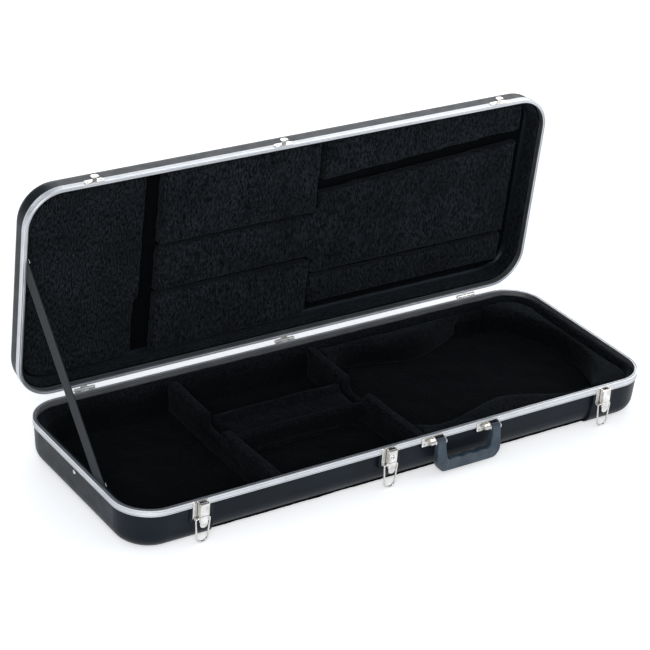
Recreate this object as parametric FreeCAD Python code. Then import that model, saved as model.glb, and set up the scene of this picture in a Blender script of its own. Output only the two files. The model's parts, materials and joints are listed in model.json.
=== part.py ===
"""Hard-shell electric guitar case, standing open on its base.

Units are millimetres. The origin is the centre of the base's underside.
+X runs along the case towards the body end, -Y is the front with the latches
and the handle, +Y is the hinge side and +Z is up. Everything on the lid is
drawn closed and then swung open about the hinge axis.
"""
import FreeCAD
import Part
import math
import os

V = FreeCAD.Vector
X_AXIS = V(1, 0, 0)
Y_AXIS = V(0, 1, 0)

# Case
CASE_LENGTH = 1018.0
CASE_WIDTH = 376.0
CORNER_R = 64.0
BASE_DEPTH = 75.0
LID_DEPTH = 51.0
RIM_GAP = 0.6
OPEN_ANGLE = 85.7

# Moulded shells
WALL = 3.0
DRAFT = 0.07
BASE_EDGE_R = 24.0
LID_EDGE_R = 22.0
RECESS_DEPTH = 3.0
RECESS_EDGE_R = 33.0
RECESS_X = (-364.0, 380.0)
BOSS_OVERLAP = 0.1
LATCH_BOSS = (20.0, 35.0)
HANDLE_BOSS = (23.0, 19.0)

# Valances: a channel that holds the shell's edge
VALANCE_H = 11.0
VALANCE_WEB = 1.5
VALANCE_T = 6.0
VALANCE_ROOF = 3.0
TONGUE_H = 0.9
TONGUE_D = (2.6, 3.4)
GROOVE_D = (2.2, 3.8)
GROOVE_H = 1.4
RIB_D = 0.4
RIB_H = 1.0
RIB_Z = (-3.6, -6.4, -9.2)

# Linings
CLEAR = 0.3
FLOOR_PAD_T = 5.0
WALL_PAD_D = 17.0
BASE_PAD_TOP = 69.0
PAD_FOOT_D = 28.0
DIVIDER_X = ((-248.0, -228.0), (26.0, 46.0))
DIVIDER_TOP = 65.0
NECK_Y = (-6.0, 50.0)
NOTCH_Z = 43.0
REST_LIP = 14.0
REST_TOP = 53.0
BODY_PAD_TOP = 64.0
BODY_PAD_SPLIT = 400.0
BODY_AXIS_Y = 4.0
LID_PAD_D = 15.0
LID_PAD_LOW = 5.0
LID_NECK_X = (-255.0, 53.0)
LID_NECK_Y = (-32.0, 58.0)
LID_BODY_Y = (-90.0, 93.0)
LID_TAPER = 27.0
LID_CHANNEL_W = 20.0
HEAD_CHANNEL_W = 24.0
HEAD_JOG = 9.0
HEAD_JOG_Y = 60.0
LID_HEAD_H = 24.0
LID_BLOCK_H = 20.0
LID_PANEL_H = 23.0
LID_LOW_BLOCK_H = 25.0
LID_LOW_BLOCK_BACK = 151.0
LID_BLOCK_END = 474.0
LID_SEAM = 1.4
POCKET_Y = (-118.0, 34.0)
POCKET_X = -498.0
POCKET_H = 42.0

# Hinges
HINGE_X = {"left": -388.0, "centre": 0.0, "right": 388.0}
HINGE_OUT = 5.8
HINGE_HALF = 19.0
KNUCKLE_HALF = 6.3
KNUCKLE_GAP = 0.3
KNUCKLE_R = 3.2
HINGE_PIN_R = 1.25
LEAF_T = 1.2
LEAF_H = 13.0
LEAF_RIVET_H = 8.6
LEAF_RIVET_X = 12.5
ARM_T = 1.5

# Latches, with places as (distance out of the front face, z)
LATCH_X = {"left": -388.0, "centre": -40.0, "right": 400.0}
FACE_GAP = 0.1
PLATE_X = (-16.0, 14.0)
PLATE_Z = (42.0, 74.4)
PLATE_T = 1.2
LATCH_RIVET_X = (-12.4, 11.4)
LATCH_RIVET_Z = (45.6, 70.6)
CHEEK_X = (6.1, 7.2)
CHEEK_LOW = 58.0
CHEEK_R = 2.6
CHEEK_D = 7.2
SKIRT_X = (7.4, 8.4)
SKIRT_D = 2.4
SKIRT_LOW = 41.0
LEVER_D = (7.6, 9.0)
LEVER_PIVOT = (4.6, 70.5)
LEVER_PIN_R = 1.2
LEVER_TOP = 72.0
LEVER_JOINT = 51.0
COVER_EDGE = 1.0
COVER_T = 0.9
TONGUE_HALF = 6.9
TONGUE_LOW = 29.5
JOINT_GROOVE = (1.6, 1.0)
BAIL_PIVOT = (5.0, 44.5)
BAIL_END_X = 6.6
BAIL_HALF = 12.4
BAIL_FOOT_HALF = 9.8
BAIL_LENGTH = 41.6
BAIL_WIRE_R = 1.5
BAIL_BEND_R = 2.2
BAIL_FOOT_R = 8.5
RUN_CLEAR = 0.07
PLUG_Z = 60.5
PLUG_R = 2.8
PLUG_RIM = 0.9
KEYHOLE_R = 1.7

# Catches, with heights above the lid's rim
CATCH_X = (-19.0, 15.0)
CATCH_H = (0.6, 10.6)
CATCH_RIVET_X = (-13.5, 10.6)
CATCH_RIVET_H = 5.3
SHELF_HALF = 3.6
SHELF_H = (6.6, 8.2)
LIP_HALF = 6.5
LIP_H = (5.2, 13.0)
LIP_D = (6.9, 8.1)
LIP_R = 5.0

# Handle, with its front outline as half widths
HANDLE_X = 108.5
HANDLE_TOP_HALF = 63.0
HANDLE_HALF = 65.0
ARM_W = 16.0
ARM_FOOT_W = 22.5
ARM_FLARE_Z = 53.0
HANDLE_PIVOT = (8.5, 64.0)
HANDLE_TOP = 72.0
HANDLE_PIN_R = 2.0
EYE_R = 6.0
EAR_T = 2.0
EAR_GAP = 0.4
EAR_OUTLINE = ((1.4, 57.5), (1.4, 71.5), (6.0, 70.0), (12.0, 66.0), (12.0, 61.0), (9.0, 58.5))
KNUCKLE_LENGTH = 9.0
KNUCKLE_ROD_R = 3.2
BRACKET_SHIFT = 9.0
BRACKET_HALF = 23.0
BRACKET_Z = (57.0, 72.5)
BRACKET_T = 1.4
GRIP_LOW = 8.0
GRIP_HIGH = 30.5
GRIP_D = (6.0, 18.4)
GRIP_INSET = 1.2
GRIP_EDGE_R = 6.0
ARM_OUTLINE = ((3.2, 62.0), (14.4, 65.0), (18.0, 26.0), (7.5, 18.0))
HANDLE_CORNER_R = 24.0
GAP_CORNER_R = 5.0

# Stay strap, as (y, height above its own half's rim)
STRAP_W = 30.0
STRAP_T = 1.5
STRAP_BASE = (-80.0, -7.0)
STRAP_LID = (-62.0, 7.0)
STRAP_TAIL = 8.0
KEEPER_HALF = (16.0, 4.0)
KEEPER_T = 1.0
END_RIVET_Z = 54.5

FRONT = -CASE_WIDTH / 2
BACK = CASE_WIDTH / 2
END = CASE_LENGTH / 2
LID_RIM = BASE_DEPTH + RIM_GAP
HINGE_Y = BACK + HINGE_OUT
HINGE_Z = BASE_DEPTH + RIM_GAP / 2


# ---------------------------------------------------------------- tools

def box(x0, x1, y0, y1, z0, z1):
    return Part.makeBox(x1 - x0, y1 - y0, z1 - z0, V(x0, y0, z0))


def rod(radius, start, end):
    run = end - start
    return Part.makeCylinder(radius, run.Length, start, run)


def fuse_all(shapes):
    whole = shapes[0].multiFuse(shapes[1:]) if len(shapes) > 1 else shapes[0]
    return whole.removeSplitter()


def cut_all(shape, tools):
    for tool in tools:
        shape = shape.cut(tool)
    return shape


def rounded_wire(length, width, radius, z):
    hx = length / 2
    hy = width / 2
    bend = radius * (1 - math.sqrt(0.5))
    edges = []
    for sx, sy in ((1, 1), (-1, 1), (-1, -1), (1, -1)):
        side = V(sx * hx, sy * (hy - radius), z)
        top = V(sx * (hx - radius), sy * hy, z)
        middle = V(sx * (hx - bend), sy * (hy - bend), z)
        first, last = (side, top) if sx == sy else (top, side)
        if edges:
            edges.append(Part.makeLine(edges[-1].lastVertex(True).Point, first))
        edges.append(Part.Arc(first, middle, last).toShape())
    edges.append(Part.makeLine(edges[-1].lastVertex(True).Point, edges[0].firstVertex(True).Point))
    return Part.Wire(edges)


def case_wire(inset, z):
    return rounded_wire(CASE_LENGTH - 2 * inset, CASE_WIDTH - 2 * inset, CORNER_R - inset, z)


def slab(inset, z0, z1):
    return Part.Face(case_wire(inset, z0)).extrude(V(0, 0, z1 - z0))


def ring(outer, inner, z0, z1):
    return slab(outer, z0, z1).cut(slab(inner, z0, z1))


def dome(radius, height, centre, axis):
    """A low dome: the cap of a large ball, standing on its flat side."""
    ball_r = (radius ** 2 + height ** 2) / (2 * height)
    ball = Part.makeSphere(ball_r, centre - axis * (ball_r - height))
    return ball.common(Part.makeCylinder(radius, height, centre, axis))


def rivet(centre, axis, head_r=2.6, head_h=1.1, shank_r=1.3, depth=4.0):
    shank = Part.makeCylinder(shank_r, depth, centre - axis * depth, axis)
    return dome(head_r, head_h, centre, axis).fuse(shank)


def opened(shape):
    """Swing a shape that is drawn closed to the lid's open position."""
    turned = shape.copy()
    turned.rotate(V(0, HINGE_Y, HINGE_Z), X_AXIS, -OPEN_ANGLE)
    return turned


def opened_point(y, height):
    """The place in Y and Z that a point of the closed lid has when it is open."""
    turn = math.radians(OPEN_ANGLE)
    dy = y - HINGE_Y
    dz = LID_RIM + height - HINGE_Z
    return (HINGE_Y + dy * math.cos(turn) + dz * math.sin(turn),
            HINGE_Z - dy * math.sin(turn) + dz * math.cos(turn))


def filleted_across(shape, radius, low=-1000.0, high=1000.0):
    """Round the edges that run in Y and lie between two heights."""
    edges = [e for e in shape.Edges if abs(e.firstVertex().Y - e.lastVertex().Y) > 1
             and low < e.firstVertex().Z < high]
    return shape.makeFillet(radius, edges)


def front_prism(points, y0, y1):
    """A solid from an outline seen from the front, given as (x, z)."""
    corners = [V(x, y0, z) for x, z in points]
    return Part.Face(Part.makePolygon(corners + corners[:1])).extrude(V(0, y1 - y0, 0))


def side_profile(points, x0, x1):
    """A solid from an outline given as (distance out of the front face, z)."""
    corners = [V(x0, FRONT - out, z) for out, z in points]
    wire = Part.makePolygon(corners + corners[:1])
    return Part.Face(wire).extrude(V(x1 - x0, 0, 0))


# ---------------------------------------------------------------- shells

def bottom_edges(shape, z):
    return [e for e in shape.Edges if all(abs(v.Z - z) < 1e-4 for v in e.Vertexes)]


def tub(inset, depth, floor, edge_r):
    """A drafted tub hanging below the rim plane at z = 0."""
    low = inset + DRAFT * (depth - floor - VALANCE_H)
    bottom = -(depth - floor)
    collar = slab(inset, -VALANCE_H, 0)
    body = Part.makeLoft([case_wire(inset, -VALANCE_H), case_wire(low, bottom)], True, True)
    body = body.makeFillet(edge_r - floor, bottom_edges(body, bottom))
    return fuse_all([body, collar])


def recess_tool(wall, spread):
    """What the front recess takes away, for a surface that lies `wall` deeper."""
    x0 = RECESS_X[0] - spread
    x1 = RECESS_X[1] + spread
    top = -VALANCE_H - WALL + wall
    face = FRONT + VALANCE_WEB + RECESS_DEPTH + wall
    foot = face + DRAFT * (BASE_DEPTH - VALANCE_H)
    floor = -BASE_DEPTH + wall
    corners = [V(x0, face, top), V(x0, foot, floor), V(x0, 0, floor), V(x0, 0, top)]
    kept = Part.Face(Part.makePolygon(corners + corners[:1])).extrude(V(x1 - x0, 0, 0))
    edge = [e for e in kept.Edges if all(abs(v.Y - foot) < 1e-4 for v in e.Vertexes)]
    kept = kept.makeFillet(RECESS_EDGE_R - wall, edge)
    return box(x0, x1, FRONT - 20, -10, floor - 20, top).cut(kept)


def front_bosses():
    """Flat pads on the front wall that the latches and the handle stand on."""
    pads = [(x,) + LATCH_BOSS for x in LATCH_X.values()]
    pads += [(x,) + HANDLE_BOSS for x in bracket_centres()]
    deep = VALANCE_T + BOSS_OVERLAP
    return [box(x - half, x + half, FRONT, FRONT + deep, -low, -VALANCE_H) for x, half, low in pads]


def base_shell():
    outer = tub(VALANCE_WEB, BASE_DEPTH, 0, BASE_EDGE_R).cut(recess_tool(0, 0))
    inner = tub(VALANCE_WEB + WALL, BASE_DEPTH, WALL, BASE_EDGE_R).cut(recess_tool(WALL, WALL))
    shell = outer.cut(inner).cut(slab(0, -VALANCE_ROOF, 1))
    shell = fuse_all([shell] + front_bosses())
    shell.translate(V(0, 0, BASE_DEPTH))
    return shell


def lid_shell():
    outer = tub(VALANCE_WEB, LID_DEPTH, 0, LID_EDGE_R)
    inner = tub(VALANCE_WEB + WALL, LID_DEPTH, WALL, LID_EDGE_R)
    return to_lid(outer.cut(inner).cut(slab(0, -VALANCE_ROOF, 1)))


def to_lid(shape):
    """Turn a shape that hangs below z = 0 upside down onto the lid's rim."""
    turned = shape.copy()
    turned.rotate(V(0, 0, 0), X_AXIS, 180)
    turned.translate(V(0, 0, LID_RIM))
    return turned


def valance():
    """The plain channel: two webs under a roof, with ribs along its outer face."""
    body = ring(0, VALANCE_T, -VALANCE_H, 0)
    body = body.cut(ring(VALANCE_WEB, VALANCE_WEB + WALL, -VALANCE_H, -VALANCE_ROOF))
    for z in RIB_Z:
        body = body.cut(ring(-1, RIB_D, z - RIB_H / 2, z + RIB_H / 2))
    return body


def base_valance():
    body = valance().cut(ring(GROOVE_D[0], GROOVE_D[1], -GROOVE_H, 1))
    body.translate(V(0, 0, BASE_DEPTH))
    return body


def lid_valance():
    tongue = ring(TONGUE_D[0], TONGUE_D[1], 0, TONGUE_H)
    return to_lid(valance().fuse(tongue).removeSplitter())


# ---------------------------------------------------------------- linings

def room(depth, edge_r):
    """The space inside a shell and its valance, with a little clearance."""
    return tub(VALANCE_T + CLEAR, depth, WALL + CLEAR, edge_r)


def base_room():
    space = room(BASE_DEPTH, BASE_EDGE_R).cut(recess_tool(WALL + CLEAR, WALL + CLEAR))
    space.translate(V(0, 0, BASE_DEPTH))
    return space


def lid_room():
    return to_lid(room(LID_DEPTH, LID_EDGE_R))


def body_outline(z):
    """The outline of a guitar body, a smooth curve mirrored about its own axis."""
    half = [(46, 118), (108, 146), (172, 130), (232, 118), (296, 136), (372, 158), (446, 112), (479, 0)]
    back = [V(x, BODY_AXIS_Y + y, z) for x, y in half]
    front = [V(x, BODY_AXIS_Y - y, z) for x, y in half[-2::-1]]
    curve = Part.BSplineCurve()
    curve.interpolate(back + front)
    closing = Part.makeLine(front[-1], back[0])
    return Part.Face(Part.Wire([curve.toShape(), closing]))


def base_hollow(gap, low):
    """The space between the sloping wall pads, held clear of them by gap."""
    ends = [case_wire(PAD_FOOT_D + gap, low), case_wire(WALL_PAD_D + gap, BASE_PAD_TOP)]
    return Part.makeLoft(ends, True, True)


def base_wall_pads(space, low):
    """Four lining pads: a straight one along each side, and one round each end."""
    wall = space.common(slab(0, low, BASE_PAD_TOP)).cut(base_hollow(0, low))
    wall = wall.cut(box(-END, POCKET_X, POCKET_Y[0], POCKET_Y[1], BASE_DEPTH - POCKET_H, BASE_DEPTH))
    side = END - CORNER_R
    end = side + CLEAR
    spans = {"front": (-side, side, FRONT, 0), "back": (-side, side, 0, BACK),
             "left": (-END, -end, FRONT, BACK), "right": (end, END, FRONT, BACK)}
    return {"base_%s_wall_pad" % name: wall.common(box(x0, x1, y0, y1, 0, BASE_DEPTH))
            for name, (x0, x1, y0, y1) in spans.items()}


def base_linings():
    space = base_room()
    floor_top = WALL + CLEAR + FLOOR_PAD_T
    low = floor_top + CLEAR
    nodes = {"base_floor_pad": space.common(slab(0, 0, floor_top))}
    nodes.update(base_wall_pads(space, low))

    inside = base_hollow(CLEAR, low)
    (head_a, head_b), (body_a, body_b) = DIVIDER_X
    notch = box(head_a - 10, body_b + 10, NECK_Y[0] - 2, NECK_Y[1] + 2, NOTCH_Z, BASE_DEPTH)
    nodes["head_divider"] = inside.common(box(head_a, head_b, FRONT, BACK, low, DIVIDER_TOP)).cut(notch)
    nodes["body_divider"] = inside.common(box(body_a, body_b, FRONT, BACK, low, DIVIDER_TOP)).cut(notch)

    rest = box(head_b + CLEAR, body_a - CLEAR, NECK_Y[0] - REST_LIP, NECK_Y[1] + REST_LIP, low, REST_TOP)
    channel = box(head_a, body_b, NECK_Y[0], NECK_Y[1], NOTCH_Z - 1, BASE_DEPTH)
    nodes["neck_rest"] = rest.cut(channel)

    surround = inside.common(box(body_b + CLEAR, END, FRONT, BACK, low, BODY_PAD_TOP))
    surround = surround.cut(body_outline(0).extrude(V(0, 0, BASE_DEPTH)))
    nodes["body_pad_front"] = surround.common(box(0, BODY_PAD_SPLIT, FRONT, 0, 0, BASE_DEPTH))
    nodes["body_pad_back"] = surround.common(box(0, BODY_PAD_SPLIT, 0, BACK, 0, BASE_DEPTH))
    nodes["body_pad_end"] = surround.common(box(BODY_PAD_SPLIT + CLEAR, END, FRONT, BACK, 0, BASE_DEPTH))
    return nodes


def lid_centre_panel(inside, high):
    """The strip over the neck and the wide panel over the body, in one piece."""
    low = LID_RIM + LID_PANEL_H
    (x0, x1), (y0, y1) = LID_NECK_X, LID_NECK_Y
    strip = box(x0, x1 + 1, y0 + LID_SEAM, y1 - LID_SEAM, low, high)
    front = [V(x1, LID_BODY_Y[0] + LID_CHANNEL_W, 0), V(END, LID_BODY_Y[0] + LID_CHANNEL_W - LID_TAPER, 0)]
    back = [V(END, LID_BODY_Y[1] - LID_SEAM, 0), V(x1, LID_BODY_Y[1] - LID_SEAM, 0)]
    outline = Part.Face(Part.makePolygon(front + back + front[:1]))
    outline.translate(V(0, 0, low))
    return inside.common(strip.fuse(outline.extrude(V(0, 0, high - low))).removeSplitter())


def lid_blocks(inside, high):
    """The raised blocks of the lid, as x and y spans and the height of their face."""
    (neck_a, neck_b), (neck_front, neck_back) = LID_NECK_X, LID_NECK_Y
    body_front, body_back = LID_BODY_Y
    body_a = neck_b + LID_SEAM
    spans = {"lid_head_panel": (-END, neck_a - HEAD_CHANNEL_W, FRONT, BACK, LID_HEAD_H),
             "lid_neck_block_front": (neck_a, neck_b, FRONT, neck_front, LID_BLOCK_H),
             "lid_neck_block_back": (neck_a, neck_b, neck_back, BACK, LID_BLOCK_H),
             "lid_body_block_front": (body_a, END, FRONT, body_front, LID_BLOCK_H),
             "lid_body_block_back": (body_a, END, body_back, LID_LOW_BLOCK_BACK, LID_LOW_BLOCK_H)}
    return {name: inside.common(box(x0, x1, y0, y1, LID_RIM + under, high))
            for name, (x0, x1, y0, y1, under) in spans.items()}


def lid_linings():
    space = lid_room()
    top = LID_RIM + LID_DEPTH
    ceiling = top - WALL - CLEAR - FLOOR_PAD_T
    high = ceiling - CLEAR
    nodes = {"lid_top_pad": space.common(slab(0, ceiling, top))}

    wall = space.common(ring(0, LID_PAD_D, LID_RIM + LID_PAD_LOW, high))
    pocket = box(-END, POCKET_X, POCKET_Y[0], POCKET_Y[1], LID_RIM, LID_RIM + POCKET_H)
    nodes["lid_wall_pad"] = wall.cut(pocket)

    inside = space.common(slab(LID_PAD_D + CLEAR, LID_RIM, high))
    inside = inside.cut(box(LID_BLOCK_END, END, FRONT, BACK, LID_RIM, high))
    nodes.update(lid_blocks(inside, high))
    nodes["lid_centre_panel"] = lid_centre_panel(inside, high)

    jog = box(LID_NECK_X[0] - HEAD_CHANNEL_W - HEAD_JOG, LID_NECK_X[0], HEAD_JOG_Y, BACK, LID_RIM, high)
    nodes["lid_head_panel"] = nodes["lid_head_panel"].cut(jog)
    corner = V(LID_NECK_X[1], LID_BODY_Y[0], 0)
    ends = [V(END, LID_BODY_Y[0] - LID_TAPER, 0), V(END, LID_BODY_Y[0], 0)]
    taper = Part.Face(Part.makePolygon([corner] + ends + [corner])).extrude(V(0, 0, top))
    nodes["lid_body_block_front"] = nodes["lid_body_block_front"].cut(taper)
    return nodes


# ---------------------------------------------------------------- hinges

def hinge_rod(x, radius, half):
    return rod(radius, V(x - half, HINGE_Y, HINGE_Z), V(x + half, HINGE_Y, HINGE_Z))


def hinge_knuckles(x, spans):
    return [hinge_rod(x + (a + b) / 2, KNUCKLE_R, (b - a) / 2) for a, b in spans]


def hinge_leaf(x, spans, up):
    """One leaf: a plate on the valance, arms to the axis, and its knuckles."""
    face = BACK + FACE_GAP
    far = HINGE_Z + up * KNUCKLE_R
    near = far - up * ARM_T
    tip = HINGE_Z + up * LEAF_H
    plate = box(x - HINGE_HALF, x + HINGE_HALF, face, face + LEAF_T, min(far, tip), max(far, tip))
    arms = [box(x + a, x + b, face, HINGE_Y, min(near, far), max(near, far)) for a, b in spans]
    leaf = fuse_all([plate] + arms + hinge_knuckles(x, spans))
    return leaf.cut(hinge_rod(x, HINGE_PIN_R + RUN_CLEAR, HINGE_HALF + 1))


def leaf_rivets(x, up):
    face = BACK + FACE_GAP + LEAF_T
    z = HINGE_Z + up * LEAF_RIVET_H
    return [rivet(V(x + dx, face, z), Y_AXIS, 1.9, 0.8, 1.1, 3.5) for dx in (-LEAF_RIVET_X, LEAF_RIVET_X)]


def hinge_nodes(side, x):
    inner = KNUCKLE_HALF - KNUCKLE_GAP
    base_spans = [(-HINGE_HALF, -KNUCKLE_HALF), (KNUCKLE_HALF, HINGE_HALF)]
    return {"hinge_%s_base_leaf" % side: cut_all(hinge_leaf(x, base_spans, -1), leaf_rivets(x, -1)),
            "hinge_%s_lid_leaf" % side: cut_all(hinge_leaf(x, [(-inner, inner)], 1), leaf_rivets(x, 1))}


def hinge_pins():
    return Part.makeCompound([hinge_rod(x, HINGE_PIN_R, HINGE_HALF + 1) for x in HINGE_X.values()])


# ---------------------------------------------------------------- latches

def cross_pin(x, radius, half, place):
    y = FRONT - place[0]
    return rod(radius, V(x - half, y, place[1]), V(x + half, y, place[1]))


def latch_housing(x):
    y = FRONT - FACE_GAP
    plate = box(x + PLATE_X[0], x + PLATE_X[1], y - PLATE_T, y, PLATE_Z[0], PLATE_Z[1])
    parts = [filleted_across(plate, 4.0)]
    pivot_y = FRONT - LEVER_PIVOT[0]
    pivot_z = LEVER_PIVOT[1]
    for s in (-1, 1):
        x0, x1 = sorted((x + s * CHEEK_X[0], x + s * CHEEK_X[1]))
        parts.append(box(x0, x1, FRONT - CHEEK_D, y - PLATE_T, CHEEK_LOW, pivot_z))
        parts.append(box(x0, x1, pivot_y, y - PLATE_T, pivot_z, pivot_z + CHEEK_R))
        parts.append(rod(CHEEK_R, V(x0, pivot_y, pivot_z), V(x1, pivot_y, pivot_z)))
    return fuse_all(parts).cut(cross_pin(x, LEVER_PIN_R + 0.01, PLATE_X[1], LEVER_PIVOT))


def latch_rivets(x):
    y = FRONT - FACE_GAP - PLATE_T
    spots = [(dx, z) for dx in LATCH_RIVET_X for z in LATCH_RIVET_Z]
    return [rivet(V(x + dx, y, z), -Y_AXIS, 1.7, 0.8, 1.1, 4.0) for dx, z in spots]


def latch_lever(x):
    """The cover plate with two skirts, and the narrow tongue that is lifted."""
    y0 = FRONT - LEVER_D[1]
    y1 = FRONT - LEVER_D[0]
    half = SKIRT_X[1]
    parts = [box(x - half, x + half, y0, y1, LEVER_JOINT, LEVER_TOP)]
    for s in (-1, 1):
        x0, x1 = sorted((x + s * SKIRT_X[0], x + s * SKIRT_X[1]))
        parts.append(box(x0, x1, y0, FRONT - SKIRT_D, SKIRT_LOW, LEVER_TOP))
    end = TONGUE_LOW + TONGUE_HALF
    parts.append(box(x - TONGUE_HALF, x + TONGUE_HALF, y0, y1, end, LEVER_JOINT))
    parts.append(rod(TONGUE_HALF, V(x, y0, end), V(x, y1, end)))
    face = half - COVER_EDGE
    parts.append(box(x - face, x + face, y0 - COVER_T, y0, LEVER_JOINT, LEVER_TOP - COVER_EDGE))
    height, depth = JOINT_GROOVE
    groove = box(x - TONGUE_HALF, x + TONGUE_HALF, y0 - 1, y0 + depth, LEVER_JOINT - height, LEVER_JOINT)
    lever = fuse_all(parts).cut(groove)
    for place, radius in ((LEVER_PIVOT, LEVER_PIN_R), (BAIL_PIVOT, BAIL_WIRE_R)):
        lever = lever.cut(cross_pin(x, radius + RUN_CLEAR, PLATE_X[1], place))
    return lever


def bail_leg(x, side):
    """Half of the wire's centre line: an inward end, a leg and a foot corner."""
    y = FRONT - BAIL_PIVOT[0]
    top = BAIL_PIVOT[1]
    low = top - BAIL_LENGTH
    bend = BAIL_BEND_R
    foot = BAIL_FOOT_R
    nip = 1 - math.sqrt(0.5)

    def at(out, z):
        return V(x + side * out, y, z)

    wide = BAIL_HALF
    tight = BAIL_FOOT_HALF
    shoulder = [at(wide - bend, top), at(wide - bend * nip, top - bend * nip), at(wide, top - bend)]
    corner = [at(tight, low + foot), at(tight - foot * nip, low + foot * nip), at(tight - foot, low)]
    return [Part.makeLine(at(BAIL_END_X, top), shoulder[0]), Part.Arc(*shoulder).toShape(),
            Part.makeLine(shoulder[2], corner[0]), Part.Arc(*corner).toShape()]


def latch_bail(x):
    y = FRONT - BAIL_PIVOT[0]
    low = BAIL_PIVOT[1] - BAIL_LENGTH
    flat = BAIL_FOOT_HALF - BAIL_FOOT_R
    bar = Part.makeLine(V(x + flat, y, low), V(x - flat, y, low))
    path = Part.Wire(Part.__sortEdges__(bail_leg(x, 1) + [bar] + bail_leg(x, -1)))
    start = V(x + BAIL_END_X, y, BAIL_PIVOT[1])
    section = Part.Wire([Part.makeCircle(BAIL_WIRE_R, start, X_AXIS)])
    return path.makePipeShell([section], True, False)


def lock_plug(x):
    """The key plug in the centre lever, with its keyhole."""
    face = FRONT - LEVER_D[1] - COVER_T
    plug = rod(PLUG_R, V(x, face + 3.0, PLUG_Z), V(x, face - 0.3, PLUG_Z))
    rim = rod(PLUG_R + PLUG_RIM, V(x, face - 0.3, PLUG_Z), V(x, face - 0.9, PLUG_Z))
    hole = rod(KEYHOLE_R, V(x, face + 2.0, PLUG_Z), V(x, face - 3.0, PLUG_Z))
    slot = box(x - 0.5, x + 0.5, face - 3.0, face + 2.0, PLUG_Z - 2.4, PLUG_Z)
    return fuse_all([plug, rim]).cut(hole).cut(slot)


def latch_nodes(side, x):
    lever = latch_lever(x)
    if side == "centre":
        lever = lever.cut(rod(PLUG_R + CLEAR, V(x, FRONT - 20, PLUG_Z), V(x, FRONT, PLUG_Z)))
    return {"latch_%s_housing" % side: cut_all(latch_housing(x), latch_rivets(x)),
            "latch_%s_lever" % side: lever,
            "latch_%s_bail" % side: latch_bail(x)}


def latch_pins():
    pins = [cross_pin(x, LEVER_PIN_R, SKIRT_X[1], LEVER_PIVOT) for x in LATCH_X.values()]
    return Part.makeCompound(pins)


def catch(x):
    """The lid's catch: a plate, and an upturned hook that the bail drops over."""
    y = FRONT - FACE_GAP
    low, high = [LID_RIM + h for h in CATCH_H]
    plate = box(x + CATCH_X[0], x + CATCH_X[1], y - PLATE_T, y, low, high)
    low, high = [LID_RIM + h for h in SHELF_H]
    out = FRONT - LIP_D[1]
    shelf = box(x - SHELF_HALF, x + SHELF_HALF, out, y - PLATE_T, low, high)
    low, high = [LID_RIM + h for h in LIP_H]
    lip = box(x - LIP_HALF, x + LIP_HALF, out, FRONT - LIP_D[0], low, high)
    lip = filleted_across(lip, LIP_R, high - 1)
    return fuse_all([filleted_across(plate, 4.0), shelf, lip])


def catch_rivets(x):
    y = FRONT - FACE_GAP - PLATE_T
    z = LID_RIM + CATCH_RIVET_H
    return [rivet(V(x + dx, y, z), -Y_AXIS, 1.9, 0.8, 1.1, 3.5) for dx in CATCH_RIVET_X]


# ---------------------------------------------------------------- handle

def arm_centres():
    offset = HANDLE_TOP_HALF - ARM_W / 2
    return [HANDLE_X - offset, HANDLE_X + offset]


def bracket_centres():
    return [x - BRACKET_SHIFT for x in arm_centres()]


def handle_bracket(arm_x):
    """A plate with two ears for the pin, and a short knuckle on their left."""
    y = FRONT - FACE_GAP
    centre = arm_x - BRACKET_SHIFT
    half = BRACKET_HALF
    plate = box(centre - half, centre + half, y - BRACKET_T, y, BRACKET_Z[0], BRACKET_Z[1])
    inner = ARM_W / 2 + EAR_GAP
    outer = inner + EAR_T
    parts = [filleted_across(plate, 2.5)]
    for x0, x1 in ((arm_x - outer, arm_x - inner), (arm_x + inner, arm_x + outer)):
        parts.append(side_profile(EAR_OUTLINE, x0, x1))
    end = arm_x - outer
    pivot = V(0, FRONT - HANDLE_PIVOT[0], HANDLE_PIVOT[1])
    start = end - KNUCKLE_LENGTH
    parts.append(rod(KNUCKLE_ROD_R, V(start, pivot.y, pivot.z), V(end, pivot.y, pivot.z)))
    parts.append(box(start, end, pivot.y, y, pivot.z - 1, pivot.z + 1))
    return fuse_all(parts).cut(handle_pin(arm_x, 0.02))


def handle_pin(arm_x, extra=0.0):
    half = ARM_W / 2 + KNUCKLE_LENGTH - 0.5
    return cross_pin(arm_x - KNUCKLE_LENGTH / 2, HANDLE_PIN_R + extra, half, HANDLE_PIVOT)


def handle_rivets(arm_x):
    y = FRONT - FACE_GAP - BRACKET_T
    centre = arm_x - BRACKET_SHIFT
    spots = ((-18.5, 60.5), (-18.5, 69.0), (20.0, 60.5))
    return [rivet(V(centre + dx, y, z), -Y_AXIS, 2.1, 0.9, 1.2, 4.5) for dx, z in spots]


def handle_side():
    """The grip seen from its end: an eye at the pivot, an arm and a rounded bar."""
    x0 = HANDLE_X - HANDLE_HALF
    x1 = HANDLE_X + HANDLE_HALF
    eye = cross_pin(HANDLE_X, EYE_R, HANDLE_HALF, HANDLE_PIVOT)
    arm = side_profile(ARM_OUTLINE, x0, x1)
    near, far = GRIP_D
    bar = side_profile([(near, GRIP_LOW), (far, GRIP_LOW), (far, GRIP_HIGH), (near, GRIP_HIGH)], x0, x1)
    long_edges = [e for e in bar.Edges if abs(e.firstVertex().X - e.lastVertex().X) > 1]
    return fuse_all([eye, arm, bar.makeFillet(GRIP_EDGE_R, long_edges)])


def handle_outline(top, foot, foot_z):
    """A trapezium with upright sides over the eyes, as corners in x and z."""
    half = [(top, HANDLE_TOP), (top, ARM_FLARE_Z), (foot, foot_z)]
    return [(HANDLE_X - x, z) for x, z in half] + [(HANDLE_X + x, z) for x, z in half[::-1]]


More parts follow.
